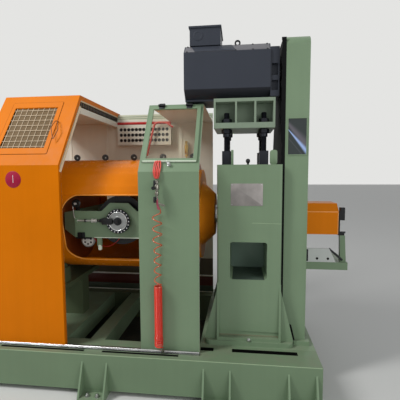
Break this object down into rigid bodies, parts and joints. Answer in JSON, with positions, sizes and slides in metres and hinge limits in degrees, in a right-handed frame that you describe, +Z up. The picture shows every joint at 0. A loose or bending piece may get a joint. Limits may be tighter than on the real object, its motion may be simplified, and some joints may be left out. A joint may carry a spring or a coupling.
{
  "type": "wire rope stranding machine",
  "caption": "Tubular stranding machine for wire rope: a rotating tube with bobbin cradles behind sliding hoods, driven by a belt from a motor on a pedestal.",
  "frame": {"origin": "on the floor under the machine axis, at the middle of the drive pedestal", "axes": "+X along the machine axis towards the take-off end, +Y away from the operator, +Z up"},
  "size_m": [5.085, 1.536, 2.566],
  "materials": {
    "green_enamel": "gloss enamel",
    "orange_enamel": "gloss enamel",
    "beige_enamel": "satin enamel",
    "dark_enamel": "satin enamel",
    "red_enamel": "gloss enamel",
    "steel": "turned",
    "cast_iron": "machined casting",
    "wire_mesh": "welded mesh",
    "clear_pane": "clear sheet",
    "dark_glass": "tinted",
    "rubber": "matt",
    "hose_plastic": "translucent",
    "brass": "machined"
  },
  "bodies": {
    "bed": {"bed_front_beam": "green_enamel", "bed_rear_beam": "green_enamel", "bed_crossbeams": "green_enamel", "bed_head_plate": "green_enamel", "bed_feet": "green_enamel", "drip_tray": "dark_enamel", "slide_rail": "steel", "rear_wall": "beige_enamel", "rear_top_rail": "beige_enamel", "guard_head": "green_enamel", "guard_bays": "green_enamel", "window_frames": "green_enamel", "window_panes": "clear_pane", "pedestal": "green_enamel", "pedestal_sole": "green_enamel", "tail_pedestal": "green_enamel", "support_stands": "green_enamel", "motor_base": "green_enamel", "jack_studs": "steel", "motor_frame": "dark_enamel", "motor_blower": "dark_enamel", "belt_loop": "rubber", "belt_guard": "green_enamel", "belt_guard_back": "dark_enamel", "belt_guard_pane": "dark_glass", "take_off_bracket": "green_enamel", "take_off_plate": "beige_enamel", "take_off_cover": "orange_enamel", "take_off_end": "dark_enamel", "vent_boxes": "beige_enamel", "pull_bars": "red_enamel", "air_hose": "hose_plastic", "hose_fittings": "brass"},
    "rotor": {"rotor_shells": "orange_enamel", "rotor_panels": "orange_enamel", "rotor_bulkheads": "dark_enamel", "rotor_neck": "orange_enamel", "rotor_shafts": "steel", "wire_guides": "dark_enamel", "main_pulley": "cast_iron"},
    "motor_rotor": {"motor_pulley": "cast_iron"},
    "cradle_1": {"cradle_1": "green_enamel"},
    "bobbin_1": {"bobbin_1": "steel", "brake_disc_1": "steel"},
    "sheave_1": {"guide_sheave_1": "steel"},
    "hood_1": {"hood_1": "orange_enamel", "hood_mesh_1": "wire_mesh"},
    "cradle_2": {"cradle_2": "green_enamel"},
    "bobbin_2": {"bobbin_2": "steel", "brake_disc_2": "steel"},
    "sheave_2": {"guide_sheave_2": "steel"},
    "hood_2": {"hood_2": "orange_enamel", "hood_mesh_2": "wire_mesh"},
    "cradle_3": {"cradle_3": "green_enamel"},
    "bobbin_3": {"bobbin_3": "steel", "brake_disc_3": "steel"},
    "sheave_3": {"guide_sheave_3": "steel"},
    "hood_3": {"hood_3": "orange_enamel", "hood_mesh_3": "wire_mesh"}
  },
  "joints": [
    {"name": "rotor_spin", "type": "hinge", "parent": "bed", "child": "rotor", "pos_m": [0, 0, 1.18], "axis": [1, 0, 0], "continuous": true},
    {"name": "motor_spin", "type": "hinge", "parent": "bed", "child": "motor_rotor", "pos_m": [0, -0.155, 2.241], "axis": [1, 0, 0], "continuous": true},
    {"name": "cradle_1_pivot", "type": "hinge", "parent": "rotor", "child": "cradle_1", "pos_m": [-0.969, 0, 1.18], "axis": [1, 0, 0], "continuous": true},
    {"name": "bobbin_1_spin", "type": "hinge", "parent": "cradle_1", "child": "bobbin_1", "pos_m": [-0.969, 0, 1.16], "axis": [0, 1, 0], "continuous": true},
    {"name": "sheave_1_spin", "type": "hinge", "parent": "cradle_1", "child": "sheave_1", "pos_m": [-1.233, -0.321, 1], "axis": [0, 1, 0], "continuous": true},
    {"name": "hood_1_slide", "type": "slide", "parent": "bed", "child": "hood_1", "axis": [1, 0, 0], "range_m": [0, 0.538]},
    {"name": "cradle_2_pivot", "type": "hinge", "parent": "rotor", "child": "cradle_2", "pos_m": [-2.139, 0, 1.18], "axis": [1, 0, 0], "continuous": true},
    {"name": "bobbin_2_spin", "type": "hinge", "parent": "cradle_2", "child": "bobbin_2", "pos_m": [-2.139, 0, 1.16], "axis": [0, 1, 0], "continuous": true},
    {"name": "sheave_2_spin", "type": "hinge", "parent": "cradle_2", "child": "sheave_2", "pos_m": [-2.403, -0.321, 1], "axis": [0, 1, 0], "continuous": true},
    {"name": "hood_2_slide", "type": "slide", "parent": "bed", "child": "hood_2", "axis": [1, 0, 0], "range_m": [0, 0.538]},
    {"name": "cradle_3_pivot", "type": "hinge", "parent": "rotor", "child": "cradle_3", "pos_m": [-3.309, 0, 1.18], "axis": [1, 0, 0], "continuous": true},
    {"name": "bobbin_3_spin", "type": "hinge", "parent": "cradle_3", "child": "bobbin_3", "pos_m": [-3.309, 0, 1.16], "axis": [0, 1, 0], "continuous": true},
    {"name": "sheave_3_spin", "type": "hinge", "parent": "cradle_3", "child": "sheave_3", "pos_m": [-3.573, -0.321, 1], "axis": [0, 1, 0], "continuous": true},
    {"name": "hood_3_slide", "type": "slide", "parent": "bed", "child": "hood_3", "axis": [1, 0, 0], "range_m": [0, 0.538]}
  ],
  "couplings": [
    {"joint": "motor_spin", "follows": "rotor_spin", "ratio": 2.6667},
    {"joint": "cradle_1_pivot", "follows": "rotor_spin", "ratio": -1},
    {"joint": "cradle_2_pivot", "follows": "rotor_spin", "ratio": -1},
    {"joint": "cradle_3_pivot", "follows": "rotor_spin", "ratio": -1}
  ]
}
